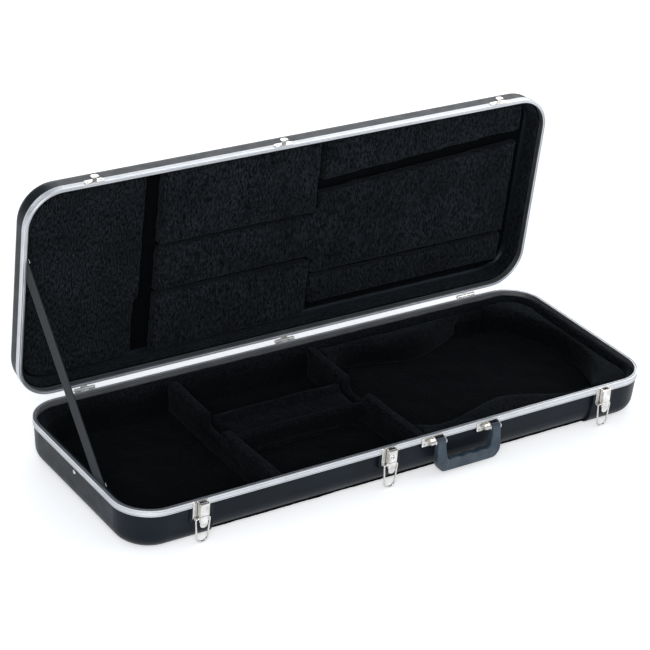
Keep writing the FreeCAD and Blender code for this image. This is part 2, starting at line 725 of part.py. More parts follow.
def handle_front():
    """The grip seen from the front: a U with an open top and arms that widen downwards."""
    y0 = FRONT - GRIP_D[1] - 1
    y1 = FRONT + 1
    outline = handle_outline(HANDLE_TOP_HALF, HANDLE_HALF, GRIP_LOW)
    outer = filleted_across(front_prism(outline, y0, y1), HANDLE_CORNER_R, high=GRIP_LOW + 1)
    gap = handle_outline(HANDLE_TOP_HALF - ARM_W, HANDLE_HALF - ARM_FOOT_W, GRIP_HIGH)
    inner = filleted_across(front_prism(gap, y0, y1), GAP_CORNER_R, high=GRIP_HIGH + 1)
    return outer.cut(inner)


def handle_grip():
    """The whole handle, with the bar set back a little between the arms."""
    half = HANDLE_HALF - ARM_FOOT_W
    front = FRONT - GRIP_D[1]
    inset = box(HANDLE_X - half, HANDLE_X + half, front - 1, front + GRIP_INSET, 0, GRIP_HIGH + GRIP_EDGE_R)
    grip = handle_front().common(handle_side()).cut(inset).removeSplitter()
    for arm_x in arm_centres():
        grip = grip.cut(cross_pin(arm_x, HANDLE_PIN_R + RUN_CLEAR, ARM_W, HANDLE_PIVOT))
    return grip


# ---------------------------------------------------------------- stay strap

def strap_ends():
    """The two anchors of the taut strap, with the lid open."""
    low = V(0, STRAP_BASE[0], BASE_DEPTH + STRAP_BASE[1])
    y, z = opened_point(*STRAP_LID)
    return low, V(0, y, z)


def stay_strap():
    low, high = strap_ends()
    run = high - low
    along = run * (1 / run.Length)
    across = V(0, -along.z, along.y)
    start = low - along * STRAP_TAIL
    end = high + along * STRAP_TAIL
    half = across * (STRAP_W / 2)
    x = V(-END + VALANCE_T + FACE_GAP, 0, 0)
    corners = [x + start - half, x + end - half, x + end + half, x + start + half]
    strap = Part.Face(Part.makePolygon(corners + corners[:1])).extrude(V(STRAP_T, 0, 0))
    return strap.cut(strap_screw(low)).cut(strap_screw(high))


def strap_plate(at, turn):
    """A small keeper plate that clamps the strap's end."""
    x = -END + VALANCE_T + STRAP_T + 2 * FACE_GAP
    half_y, half_z = KEEPER_HALF
    plate = box(x, x + KEEPER_T, at.y - half_y, at.y + half_y, at.z - half_z, at.z + half_z)
    corners = [e for e in plate.Edges if abs(e.firstVertex().X - e.lastVertex().X) > 0.5]
    plate = plate.makeFillet(2.0, corners)
    plate.rotate(at, X_AXIS, turn)
    return plate.cut(strap_screw(at))


def strap_screw(at):
    x = -END + VALANCE_T + STRAP_T + KEEPER_T + 2 * FACE_GAP
    head = dome(3.2, 1.4, V(x, at.y, at.z), X_AXIS)
    return head.fuse(rod(1.4, V(x, at.y, at.z), V(-END + VALANCE_T - 1.3, at.y, at.z)))


def strap_nodes():
    low, high = strap_ends()
    turn = math.degrees(math.atan2(high.z - low.z, high.y - low.y)) - 90
    return {"stay_strap": stay_strap(),
            "strap_base_plate": strap_plate(low, turn),
            "strap_base_screw": strap_screw(low),
            "strap_lid_plate": strap_plate(high, turn),
            "strap_lid_screw": strap_screw(high)}


# ---------------------------------------------------------------- assembly

def end_rivets():
    inset = VALANCE_WEB + DRAFT * (BASE_DEPTH - VALANCE_H - END_RIVET_Z)
    return [rivet(V(s * (END - inset), 0, END_RIVET_Z), X_AXIS * s, 4.0, 1.6, 1.6, 3.0) for s in (-1, 1)]


def build():
    nodes = {}
    nodes.update(base_linings())
    nodes.update(strap_nodes())
    for name, shape in lid_linings().items():
        nodes[name] = opened(shape)

    latch_fixings = []
    base_leaf_fixings = []
    lid_leaf_fixings = []
    catch_fixings = []
    handle_fixings = []
    pins = []

    for side, x in HINGE_X.items():
        parts = hinge_nodes(side, x)
        lid_leaf = "hinge_%s_lid_leaf" % side
        parts[lid_leaf] = opened(parts[lid_leaf])
        nodes.update(parts)
        base_leaf_fixings += leaf_rivets(x, -1)
        lid_leaf_fixings += leaf_rivets(x, 1)

    for side, x in LATCH_X.items():
        nodes.update(latch_nodes(side, x))
        latch_fixings += latch_rivets(x)
        catch_fixings += catch_rivets(x)
        nodes["catch_" + side] = opened(cut_all(catch(x), catch_rivets(x)))
    nodes["lock_plug"] = lock_plug(LATCH_X["centre"])
    nodes["latch_pins"] = latch_pins()
    nodes["hinge_pins"] = hinge_pins()

    for side, x in zip(("left", "right"), arm_centres()):
        nodes["handle_bracket_" + side] = cut_all(handle_bracket(x), handle_rivets(x))
        handle_fixings += handle_rivets(x)
        pins.append(handle_pin(x))
    nodes["handle_pins"] = Part.makeCompound(pins)
    nodes["handle_grip"] = handle_grip()

    strap_screws = [nodes["strap_base_screw"]]
    front_fixings = latch_fixings + handle_fixings
    nodes["base_shell"] = cut_all(base_shell(), front_fixings + base_leaf_fixings + end_rivets())
    nodes["base_valance"] = cut_all(base_valance(), front_fixings + base_leaf_fixings + strap_screws)
    lid_tools = lid_leaf_fixings + catch_fixings
    nodes["lid_shell"] = opened(cut_all(lid_shell(), lid_tools))
    nodes["lid_valance"] = opened(cut_all(lid_valance(), lid_tools)).cut(nodes["strap_lid_screw"])

    nodes["latch_rivets"] = Part.makeCompound(latch_fixings)
    nodes["hinge_base_rivets"] = Part.makeCompound(base_leaf_fixings)
    nodes["hinge_lid_rivets"] = opened(Part.makeCompound(lid_leaf_fixings))
    nodes["catch_rivets"] = opened(Part.makeCompound(catch_fixings))
    nodes["handle_rivets"] = Part.makeCompound(handle_fixings)
    nodes["end_rivets"] = Part.makeCompound(end_rivets())
    return nodes


def main():
    os.makedirs("parts", exist_ok=True)
    for name, shape in sorted(build().items()):
        shape.exportStep("parts/%s.step" % name)
        print(name, len(shape.Solids), round(shape.Volume, 1), shape.isValid())


main()
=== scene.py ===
"""A hard guitar case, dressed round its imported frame.

The frame gives the metal and the moulded parts. This script adds the plush
linings, the webbing strap, the moulded grip, every finish, the studio and the
camera. Lengths are metres, in the frame's own axes: the base stands on z = 0,
the front is -Y and the lid turns about the hinge line at the back.
"""

import json
import math

import bmesh
import bpy
import numpy as np
from mathutils import Matrix, Vector, noise

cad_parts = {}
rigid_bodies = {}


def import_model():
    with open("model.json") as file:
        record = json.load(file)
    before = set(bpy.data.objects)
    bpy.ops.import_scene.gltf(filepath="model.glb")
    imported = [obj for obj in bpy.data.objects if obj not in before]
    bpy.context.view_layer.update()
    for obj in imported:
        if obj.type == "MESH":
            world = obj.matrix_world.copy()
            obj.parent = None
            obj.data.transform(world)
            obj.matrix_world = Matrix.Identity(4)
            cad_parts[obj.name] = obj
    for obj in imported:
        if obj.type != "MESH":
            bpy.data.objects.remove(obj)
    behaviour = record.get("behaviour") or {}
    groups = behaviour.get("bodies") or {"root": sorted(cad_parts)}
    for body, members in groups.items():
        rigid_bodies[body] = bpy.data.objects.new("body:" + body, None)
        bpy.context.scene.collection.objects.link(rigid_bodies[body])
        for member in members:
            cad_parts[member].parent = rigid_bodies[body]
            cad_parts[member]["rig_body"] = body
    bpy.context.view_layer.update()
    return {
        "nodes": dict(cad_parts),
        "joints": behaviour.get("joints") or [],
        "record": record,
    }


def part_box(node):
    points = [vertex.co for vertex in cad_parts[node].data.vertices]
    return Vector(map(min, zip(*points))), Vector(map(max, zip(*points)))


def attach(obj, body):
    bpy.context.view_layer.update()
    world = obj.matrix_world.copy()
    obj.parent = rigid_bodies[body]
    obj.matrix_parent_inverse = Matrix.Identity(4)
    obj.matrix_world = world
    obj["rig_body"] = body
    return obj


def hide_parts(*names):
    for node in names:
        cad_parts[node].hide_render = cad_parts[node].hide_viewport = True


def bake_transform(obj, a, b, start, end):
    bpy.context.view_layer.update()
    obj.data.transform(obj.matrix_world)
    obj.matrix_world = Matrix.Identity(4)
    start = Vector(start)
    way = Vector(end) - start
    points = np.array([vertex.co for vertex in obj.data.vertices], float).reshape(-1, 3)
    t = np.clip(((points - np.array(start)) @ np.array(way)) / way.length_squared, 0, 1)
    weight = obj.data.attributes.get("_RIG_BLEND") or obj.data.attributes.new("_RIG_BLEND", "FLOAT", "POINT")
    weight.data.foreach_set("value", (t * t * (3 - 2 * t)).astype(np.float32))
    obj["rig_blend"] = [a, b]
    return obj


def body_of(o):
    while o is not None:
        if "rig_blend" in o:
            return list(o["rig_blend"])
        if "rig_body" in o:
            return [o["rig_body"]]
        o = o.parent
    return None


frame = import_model()

# The lid's turn from closed to open, about the hinge line
HINGE = next(j for j in frame["joints"] if j["name"] == "lid_hinge")
PIVOT = Vector(HINGE["pos_m"])
TURN = math.radians(HINGE["range_deg"][0])
OPENING = Matrix.Translation(PIVOT) @ Matrix.Rotation(TURN, 4, "X") @ Matrix.Translation(-PIVOT)
CLOSING = OPENING.inverted()

MM = 0.001
CASE_CORNER = 64.0 * MM
RIM_LOW, RIM_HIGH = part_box("base_valance")

# Linings: how far they sink, swell and tuft, and how their nap is drawn out along the lid's height
BASE_SINK = 0.9 * MM
LID_SINK = 1.5 * MM
SWELL = 0.7 * MM
SWELL_SCALE = 28.0
TUFT = 0.40 * MM
TUFT_SCALE = 190.0
NAP_STRETCH = 0.35

# (node, voxel size in mm, rounding passes, how far in mm the simulation may fill it)
BASE_PADS = [
    ("head_divider", 4.0, 5, 1.6),
    ("body_divider", 4.0, 5, 1.6),
    ("neck_rest", 4.0, 5, 1.6),
    ("body_pad_front", 5.0, 8, 2.5),
    ("body_pad_back", 5.0, 8, 2.5),
    ("body_pad_end", 5.0, 8, 2.5),
]
LID_PADS = [
    ("lid_wall_pad", 4.6, 8, 0.0),
    ("lid_head_panel", 4.4, 3, 1.2),
    ("lid_neck_block_front", 4.8, 5, 1.5),
    ("lid_neck_block_back", 4.8, 5, 1.5),
    ("lid_centre_panel", 4.8, 4, 1.2),
    ("lid_body_block_front", 4.8, 5, 1.5),
    ("lid_body_block_back", 4.8, 5, 1.5),
]
WALL_PADS = ["base_front_wall_pad", "base_back_wall_pad", "base_left_wall_pad", "base_right_wall_pad"]
WALL_VOXEL = 4.6
WALL_PASSES = 9
EASE = 0.5
SHEET_CELL = 5.0 * MM
SHEET_CORNER = 55.0 * MM
SHEET_SLACK = 1.5 * MM

# Cloth fill of the pads
CLOTH_QUALITY = 4
CLOTH_PRESSURE = 4.0
CLOTH_FRAMES = 20

# Colours, as linear RGB
PLUSH_ROOTS = (0.0010, 0.0013, 0.0018)
# Lighter tip colour of the plush: partly the pile's own tone, partly painted highlight
PLUSH_TIPS_AND_HIGHLIGHT = (0.021, 0.0255, 0.030)
# Painted shade: the plush on the base floor and the lid ceiling, at the bottom of the channels and
# compartments, has its tip colour dimmed to this share
RECESS_SHADE_TIPS = 0.12
# Painted shade: the base's plush has its tip colour dimmed to this share of the lid's, as the base interior
# lies in shade
BASE_SHADE_TIPS = 0.60
# Painted light: over this height span the base's plush goes from dim near the floor to lit at the tops of
# the dividers
BASE_PAINTED_LIGHT_Z = (40.0 * MM, 66.0 * MM)
SHELL_BLACK = ((0.0045, 0.0062, 0.0085), (0.0075, 0.0102, 0.0145))
SHELL_SCUFF = (0.035, 0.039, 0.046)
SHELL_WORN = (0.06, 0.066, 0.075)
ALUMINIUM = ((0.66, 0.675, 0.695), (0.75, 0.765, 0.785))
ALUMINIUM_LINE = (0.36, 0.37, 0.39)
ALUMINIUM_DULL = (0.54, 0.55, 0.575)
NICKEL = ((0.70, 0.685, 0.655), (0.52, 0.505, 0.48))
NICKEL_WORN = (0.92, 0.91, 0.88)
STEEL = ((0.60, 0.60, 0.61), (0.40, 0.39, 0.38))
GRIP_BLACK = ((0.020, 0.033, 0.047), (0.037, 0.056, 0.076))
GRIP_WORN = (0.075, 0.08, 0.088)
WEBBING_GREY = ((0.0037, 0.0048, 0.006), (0.014, 0.018, 0.022))
WEFT = 1.1 * MM
WARP = 1.6 * MM
PAPER = ((0.86, 0.865, 0.87), (0.89, 0.892, 0.895))
PAPER_LIT = ((0.99, 0.992, 1.0), (1.0, 1.0, 1.0))

# Stay strap
STRAP_W = 30.0 * MM
STRAP_T = 1.5 * MM
STRAP_TAIL = 7.0 * MM
STRAP_STEPS = 190
STRAP_POINTS = 13
SELVEDGE = 0.22 * MM
SELVEDGE_AT = 0.86
SELVEDGE_SPREAD = 0.09

# Grip, its voxel size in mm
GRIP_VOXEL = 0.9
GRIP_PASSES = 5
GAP_HALF = 41.0 * MM
BAR_TOP = 30.5 * MM
WAVE_H = 2.4 * MM
WAVE_COUNT = 1.5
WAVE_REACH = 6.0 * MM

# Studio
SKY_LOW = (0.40, 0.41, 0.43)
SKY_HIGH = (0.50, 0.54, 0.60)
SKY_STRENGTH = 1.0
# (name, place, aim, size, power)
LAMPS = [
    ("key", (-1.9, -2.6, 1.9), (0, 0.05, 0.15), (1.6, 1.2), 62),
    ("fill", (2.2, -1.6, 1.2), (0, 0.1, 0.2), (1.4, 1.4), 14),
    ("backdrop", (1.7, 2.6, 1.7), (0, 0, 0.3), (3.6, 1.6), 48),
]
FLOOR_GLOW = 0.42
FLOOR_HALF = 14.0
FLOOR_DROP = 0.5 * MM

# Camera
CAMERA_PLACE = (-1.9359, -2.6831, 1.9119)
CAMERA_AZIMUTH = -35.06
CAMERA_ELEVATION = 27.47
CAMERA_ROLL = 4.24
CAMERA_LENS = 126.03
CAMERA_SENSOR = 36.0


# ---------------------------------------------------------------- finishes

class Finish:
    """One procedural material on a Principled shader."""

    def __init__(self, name, sockets, on_lid=False):
        self.material = bpy.data.materials.new(name)
        self.material.use_nodes = True
        self.tree = self.material.node_tree
        self.shader = self.tree.nodes["Principled BSDF"]
        for socket, value in sockets.items():
            self.shader.inputs[socket].default_value = value
        self.place = self.node("ShaderNodeTexCoord").outputs["Object"]
        if on_lid:
            self.place = self.mapped(self.place, turn=(-TURN, 0, 0), shift=CLOSING.translation)

    def node(self, kind, **settings):
        made = self.tree.nodes.new(kind)
        for name, value in settings.items():
            setattr(made, name, value)
        return made

    def link(self, source, target):
        self.tree.links.new(source, target)

    def feed(self, target, value):
        """Links an output, or sets a plain number."""
        if isinstance(value, bpy.types.NodeSocket):
            self.link(value, target)
        else:
            target.default_value = value

    def mapped(self, source, turn=(0, 0, 0), shift=(0, 0, 0), stretch=(1, 1, 1)):
        node = self.node("ShaderNodeMapping")
        self.link(source, node.inputs["Vector"])
        node.inputs["Rotation"].default_value = turn
        node.inputs["Location"].default_value = shift
        node.inputs["Scale"].default_value = stretch
        return node.outputs["Vector"]

    def noise(self, scale, detail=2.0, stretch=None, source=None, rough=0.55):
        node = self.node("ShaderNodeTexNoise")
        source = source or self.place
        self.link(self.mapped(source, stretch=stretch) if stretch else source, node.inputs["Vector"])
        node.inputs["Scale"].default_value = scale
        node.inputs["Detail"].default_value = detail
        node.inputs["Roughness"].default_value = rough
        return node.outputs["Fac"]

    def cells(self, scale, feature="F1"):
        node = self.node("ShaderNodeTexVoronoi", feature=feature)
        self.link(self.place, node.inputs["Vector"])
        node.inputs["Scale"].default_value = scale
        return node.outputs["Distance"]

    def math(self, operation, a, b=0.0, c=0.0):
        node = self.node("ShaderNodeMath", operation=operation)
        for socket, value in zip(node.inputs, (a, b, c)):
            self.feed(socket, value)
        return node.outputs["Value"]

    def span(self, value, low, high, to_low=0.0, to_high=1.0):
        node = self.node("ShaderNodeMapRange")
        for name, number in (("Value", value), ("From Min", low), ("From Max", high),
                             ("To Min", to_low), ("To Max", to_high)):
            self.feed(node.inputs[name], number)
        return node.outputs["Result"]

    def tint(self, share, low, high):
        node = self.node("ShaderNodeMix", data_type="RGBA")
        self.feed(node.inputs["Factor"], share)
        colours = [s for s in node.inputs if s.type == "RGBA"]
        self.feed(colours[0], low if isinstance(low, bpy.types.NodeSocket) else (*low, 1.0))
        self.feed(colours[1], high if isinstance(high, bpy.types.NodeSocket) else (*high, 1.0))
        return next(s for s in node.outputs if s.type == "RGBA")

    def bump(self, height, distance, strength=1.0, normal=None):
        node = self.node("ShaderNodeBump")
        node.inputs["Strength"].default_value = strength
        node.inputs["Distance"].default_value = distance
        self.link(height, node.inputs["Height"])
        if normal:
            self.link(normal, node.inputs["Normal"])
        return node.outputs["Normal"]

    def soft_edge(self, radius):
        node = self.node("ShaderNodeBevel", samples=4)
        node.inputs["Radius"].default_value = radius
        return node.outputs["Normal"]

    def worn(self, low=0.52, high=0.6):
        """Near 1 on sharp outer edges, broken up by noise."""
        point = self.node("ShaderNodeNewGeometry").outputs["Pointiness"]
        return self.math("MULTIPLY", self.span(point, low, high), self.span(self.noise(60, 3), 0.4, 0.6))

    def set(self, socket, value):
        self.feed(self.shader.inputs[socket], value)
        return self


def plush_finish(name, on_lid, tip_shade_share):
    """Near-black short pile, mottled by noise: its lighter blue-grey tip colour is partly the pile's own
    tone and partly painted highlight where the pile catches light.
    """
    f = Finish(name, {"Sheen Weight": 0.04, "Sheen Roughness": 0.38, "Sheen Tint": (0.62, 0.74, 0.86, 1),
                      "Specular IOR Level": 0.04, "Roughness": 0.95}, on_lid)
    brushed = f.noise(13, 3)
    clump = f.noise(380, 3, stretch=(1, NAP_STRETCH, 1))
    fibre = f.noise(1100, 2, stretch=(1, NAP_STRETCH, 1))
    lie = f.math("ADD", f.math("MULTIPLY", clump, 0.62), f.math("MULTIPLY", fibre, 0.38))
    lit = f.math("MULTIPLY", f.span(lie, 0.42, 0.62), f.span(brushed, 0.3, 0.7, 0.55, 1.0))
    # Painted shade and highlight: on the base the tip colour fades lower down towards the floor and is
    # brightest at the tops of the dividers
    if not on_lid:
        split = f.node("ShaderNodeSeparateXYZ")
        f.link(f.place, split.inputs["Vector"])
        lit = f.math("MULTIPLY", lit, f.span(split.outputs["Z"], *BASE_PAINTED_LIGHT_Z, 0.3, 1.0))
    # The tip colour is scaled by the given share; below 1 this paints shade on the plush copies that lie
    # deeper in the case
    f.set("Base Color", f.tint(lit, PLUSH_ROOTS, [tip_shade_share * c for c in PLUSH_TIPS_AND_HIGHLIGHT]))
    f.set("Normal", f.bump(lie, 2.4 * MM, 0.9))
    return f.material


def shell_finish(name, on_lid):
    """Black moulded plastic, satin, finely grained, with light scuffs."""
    f = Finish(name, {"Specular IOR Level": 0.12, "Specular Tint": (0.74, 0.88, 1.0, 1)}, on_lid)
    grain = f.cells(900, "SMOOTH_F1")
    wave = f.noise(9, 2)
    scuff = f.noise(30, 5, stretch=(1, 6, 9), rough=0.7)
    marks = f.span(scuff, 0.66, 0.72)
    base = f.tint(f.span(wave, 0.3, 0.7), *SHELL_BLACK)
    base = f.tint(f.math("MULTIPLY", marks, 0.3), base, SHELL_SCUFF)
    f.set("Base Color", f.tint(f.math("MULTIPLY", f.worn(0.53, 0.62), 0.35), base, SHELL_WORN))
    satin = f.span(f.noise(45, 4), 0.3, 0.7, 0.33, 0.43)
    f.set("Roughness", f.math("ADD", satin, f.math("MULTIPLY", marks, 0.12)))
    relief = f.math("ADD", grain, f.math("MULTIPLY", wave, 0.6))
    f.set("Normal", f.bump(relief, 0.10 * MM, 0.55, f.soft_edge(0.9 * MM)))
    return f.material


def rim_distance(f):
    """How far a point lies out round the rim's corners and how high, so that lines follow the rim."""
    half = (RIM_HIGH - RIM_LOW) / 2
    split = f.node("ShaderNodeSeparateXYZ")
    f.link(f.place, split.inputs["Vector"])
    squares = []
    for i in (0, 1):
        past = f.math("SUBTRACT", f.math("ABSOLUTE", split.outputs[i]), half[i] - CASE_CORNER)
        reach = f.math("MAXIMUM", past, 0.0)
        squares.append(f.math("MULTIPLY", reach, reach))
    return f.math("SQRT", f.math("ADD", *squares)), split.outputs["Z"]


def valance_finish(name, on_lid):
    """Bright extruded aluminium with fine die lines that run along it."""
    f = Finish(name, {"Metallic": 1.0}, on_lid)
    away, height = rim_distance(f)
    profile = f.node("ShaderNodeCombineXYZ")
    f.link(away, profile.inputs["X"])
    f.link(height, profile.inputs["Y"])
    lines = f.noise(2600, 3, source=profile.outputs["Vector"])
    grooves = f.span(f.noise(420, 1, source=profile.outputs["Vector"]), 0.38, 0.46)
    cloud = f.noise(35, 4)
    base = f.tint(f.span(cloud, 0.3, 0.7), *ALUMINIUM)
    base = f.tint(grooves, ALUMINIUM_LINE, base)
    dull = f.math("MULTIPLY", f.span(f.noise(140, 3), 0.62, 0.7), 0.5)
    f.set("Base Color", f.tint(dull, base, ALUMINIUM_DULL))
    f.set("Roughness", f.math("ADD", f.span(lines, 0.3, 0.7, 0.34, 0.46), f.math("MULTIPLY", cloud, 0.08)))
    f.set("Normal", f.bump(lines, 0.05 * MM, 0.5, f.soft_edge(0.35 * MM)))
    return f.material


def nickel_finish():
    """Polished nickel plate, a little warm, hazed and finely scratched."""
    f = Finish("nickel_plate", {"Metallic": 1.0})
    haze = f.noise(70, 4)
    scratch = f.noise(420, 3, stretch=(1, 1, 0.06))
    base = f.tint(f.span(haze, 0.3, 0.75), *NICKEL)
    f.set("Base Color", f.tint(f.worn(0.54, 0.64), base, NICKEL_WORN))
    f.set("Roughness", f.math("ADD", f.span(haze, 0.3, 0.7, 0.11, 0.22), f.math("MULTIPLY", scratch, 0.10)))
    f.set("Normal", f.bump(scratch, 0.03 * MM, 0.5, f.soft_edge(0.35 * MM)))
    return f.material


def steel_finish():
    """Plain turned steel for the pins and screws."""
    f = Finish("turned_steel", {"Metallic": 1.0})
    rings = f.noise(900, 2)
    stain = f.noise(120, 3)
    f.set("Base Color", f.tint(f.span(stain, 0.35, 0.7), *STEEL))
    f.set("Roughness", f.span(rings, 0.3, 0.7, 0.25, 0.42))
    f.set("Normal", f.bump(rings, 0.03 * MM, 0.5, f.soft_edge(0.25 * MM)))
    return f.material


def grip_finish():
    """Black moulded grip with a fine sand texture, polished where it is held."""
    f = Finish("grip_moulding", {"Specular IOR Level": 0.35})
    sand = f.noise(1500, 2)
    wear = f.span(f.noise(38, 3), 0.35, 0.65)
    base = f.tint(wear, *GRIP_BLACK)
    f.set("Base Color", f.tint(f.math("MULTIPLY", f.worn(0.52, 0.6), 0.5), base, GRIP_WORN))
    f.set("Roughness", f.math("ADD", f.math("MULTIPLY", wear, -0.08), f.span(sand, 0.3, 0.7, 0.34, 0.44)))
    f.set("Normal", f.bump(sand, 0.08 * MM, 0.5))
    return f.material


def webbing_finish():
    """Charcoal webbing: fine weft ribs across, warp yarns along, from the piece's own UV map."""
    f = Finish("webbing", {"Sheen Weight": 0.1, "Sheen Roughness": 0.5, "Sheen Tint": (0.8, 0.85, 0.9, 1),
                           "Specular IOR Level": 0.25, "Roughness": 0.8})
    f.place = f.node("ShaderNodeTexCoord").outputs["UV"]
    split = f.node("ShaderNodeSeparateXYZ")
    f.link(f.place, split.inputs["Vector"])
    along = f.math("SINE", f.math("MULTIPLY", split.outputs["X"], 2 * math.pi / WARP))
    across = f.math("SINE", f.math("MULTIPLY", split.outputs["Y"], 2 * math.pi / WEFT))
    weave = f.math("MULTIPLY", along, across)
    fuzz = f.noise(1400, 3)
    height = f.math("ADD", f.math("MULTIPLY", weave, 0.35), fuzz)
    shade = f.span(f.math("ADD", height, f.math("MULTIPLY", f.noise(60, 2), 0.4)), 0.3, 1.2)
    f.set("Base Color", f.tint(shade, *WEBBING_GREY))
    f.set("Normal", f.bump(height, 0.35 * MM, 0.8))
    return f.material


# ---------------------------------------------------------------- mesh tools

def new_piece(name, mesh, material):
    piece = bpy.data.objects.new(name, mesh)
    bpy.context.scene.collection.objects.link(piece)
    mesh.materials.clear()
    mesh.materials.append(material)
    return piece


def points_of(mesh):
    flat = np.zeros(len(mesh.vertices) * 3)
    mesh.vertices.foreach_get("co", flat)
    return flat.reshape(-1, 3)


def move_points(mesh, points):
    mesh.vertices.foreach_set("co", points.ravel())
    mesh.update()


def apply_modifiers(piece):
    graph = bpy.context.evaluated_depsgraph_get()
    mesh = bpy.data.meshes.new_from_object(piece.evaluated_get(graph))
    old = piece.data
    piece.modifiers.clear()
    piece.data = mesh
    bpy.data.meshes.remove(old)


def smooth_shading(mesh):
    mesh.polygons.foreach_set("use_smooth", [True] * len(mesh.polygons))


def closed_copy(nodes):
    """The outline of one or more CAD solids as one mesh of its own."""
    build = bmesh.new()
    for node in nodes:
        build.from_mesh(frame["nodes"][node].data)
    bmesh.ops.remove_doubles(build, verts=build.verts, dist=1e-5)
    mesh = bpy.data.meshes.new(nodes[0] + "_soft")
    build.to_mesh(mesh)
    build.free()
    return mesh


def rounded(nodes, name, material, voxel, passes):
    """An even mesh of one or more solids with their edges worn round."""
    piece = new_piece(name, closed_copy(nodes), material)
    remesh = piece.modifiers.new("even", "REMESH")
    remesh.mode = "VOXEL"
    remesh.voxel_size = voxel * MM
    ease = piece.modifiers.new("ease", "SMOOTH")
    ease.factor = EASE
    ease.iterations = passes
    apply_modifiers(piece)
    return piece


def fluff(piece, on_lid):
    """Slow swells and short tufts of pile along each point's normal."""
    mesh = piece.data
    to_flat = CLOSING if on_lid else Matrix.Identity(4)
    sink = LID_SINK if on_lid else BASE_SINK
    moved = np.empty((len(mesh.vertices), 3))
    for i, v in enumerate(mesh.vertices):
        p = to_flat @ v.co
        swell = noise.noise(p * SWELL_SCALE)
        tuft = noise.noise(Vector((p.x, p.y * NAP_STRETCH, p.z)) * TUFT_SCALE)
        moved[i] = v.co + v.normal * (SWELL * swell + TUFT * tuft - sink)
    move_points(mesh, moved)
    smooth_shading(mesh)


# ---------------------------------------------------------------- linings

def fill_with_cloth(pieces):
    """Fills padded pieces by one short cloth simulation under pressure, with each point's travel capped."""
    scene = bpy.context.scene
    start = {piece.name: points_of(piece.data) for piece, cap in pieces}
    for piece, cap in pieces:
        cloth = piece.modifiers.new("fill", "CLOTH")
        cloth.settings.quality = CLOTH_QUALITY
        cloth.settings.use_pressure = True
        cloth.settings.uniform_pressure_force = CLOTH_PRESSURE
        cloth.settings.effector_weights.gravity = 0.0
        cloth.point_cache.frame_end = CLOTH_FRAMES
    for step in range(1, CLOTH_FRAMES + 1):
        scene.frame_set(step)
    graph = bpy.context.evaluated_depsgraph_get()
    for piece, cap in pieces:
        travel = points_of(piece.evaluated_get(graph).data) - start[piece.name]
        length = np.linalg.norm(travel, axis=1, keepdims=True)
        travel *= np.minimum(1.0, cap * MM / np.maximum(length, 1e-9))
        piece.modifiers.clear()
        move_points(piece.data, start[piece.name] + travel)
    scene.frame_set(1)


def make_pads(rows, body, material):
    made = [(rounded([node], node + "_plush", material, voxel, passes), node, cap)
            for node, voxel, passes, cap in rows]
    fill_with_cloth([(piece, cap) for piece, node, cap in made if cap])
    for piece, node, cap in made:
        subdivide(piece)
        finish_pad(piece, [node], body)


def make_wall_lining(material):
    """The four wall pads of the base under one run of plush."""
    piece = rounded(WALL_PADS, "base_wall_plush", material, WALL_VOXEL, WALL_PASSES)
    subdivide(piece)
    finish_pad(piece, WALL_PADS, "base")


def subdivide(piece):
    finer = piece.modifiers.new("finer", "SUBSURF")
    finer.levels = finer.render_levels = 1
    apply_modifiers(piece)


def finish_pad(piece, nodes, body):
    fluff(piece, body == "lid")
    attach(piece, body)
    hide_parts(*nodes)


def onto_outline(x, y, half, corner):
    """The nearest place inside a rounded rectangle."""
    inner = (half[0] - corner, half[1] - corner)
    dx, dy = abs(x) - inner[0], abs(y) - inner[1]
    if dx > 0 and dy > 0 and math.hypot(dx, dy) > corner:
        short = corner / math.hypot(dx, dy)
        return math.copysign(inner[0] + dx * short, x), math.copysign(inner[1] + dy * short, y)
    return x, y


def lining_sheet(node, body, material):
    """The plush over a floor or a ceiling: a thin rounded sheet with lumps and tufts."""
    on_lid = body == "lid"
    flat = closed_copy([node])
    if on_lid:
        flat.transform(CLOSING)
    points = points_of(flat)
    low, high = points.min(0), points.max(0)
    bpy.data.meshes.remove(flat)
    half = ((high[0] - low[0]) / 2, (high[1] - low[1]) / 2)
    centre = ((high[0] + low[0]) / 2, (high[1] + low[1]) / 2)
    face, back = (low[2], high[2]) if on_lid else (high[2], low[2])
    build = bmesh.new()
    bmesh.ops.create_grid(build, x_segments=round(2 * half[0] / SHEET_CELL),
                          y_segments=round(2 * half[1] / SHEET_CELL), size=1.0)
    corner = min(SHEET_CORNER, half[1] * 0.9)
    for v in build.verts:
        x, y = onto_outline(v.co.x * half[0], v.co.y * half[1], half, corner)
        v.co = Vector((x + centre[0], y + centre[1], face))
    bmesh.ops.remove_doubles(build, verts=build.verts, dist=1e-4)
    bmesh.ops.dissolve_degenerate(build, edges=build.edges, dist=1e-5)
    if on_lid:
        bmesh.ops.reverse_faces(build, faces=build.faces)
    mesh = bpy.data.meshes.new(node + "_sheet")
    build.to_mesh(mesh)
    build.free()
    if on_lid:
        mesh.transform(OPENING)
    piece = new_piece(node + "_plush", mesh, material)
    thick = piece.modifiers.new("thick", "SOLIDIFY")
    thick.thickness = abs(face - back) - SHEET_SLACK
    thick.offset = -1.0
    apply_modifiers(piece)
    finish_pad(piece, [node], body)


# ---------------------------------------------------------------- strap and grip

def strap_profile():
    """Points round the webbing's section: thin, with a slightly fuller edge."""
    across = np.linspace(-1, 1, STRAP_POINTS)
    edge = SELVEDGE * np.exp(-((np.abs(across) - SELVEDGE_AT) / SELVEDGE_SPREAD) ** 2)
    half_t = STRAP_T / 2 - SELVEDGE
    half_t = half_t * np.sqrt(np.clip(1 - np.abs(across) ** 14, 0, 1)) + edge * (np.abs(across) < 1)
    top = [(w * STRAP_W / 2, t) for w, t in zip(across, half_t)]
    return top + [(w, -t) for w, t in top[-2:0:-1]]


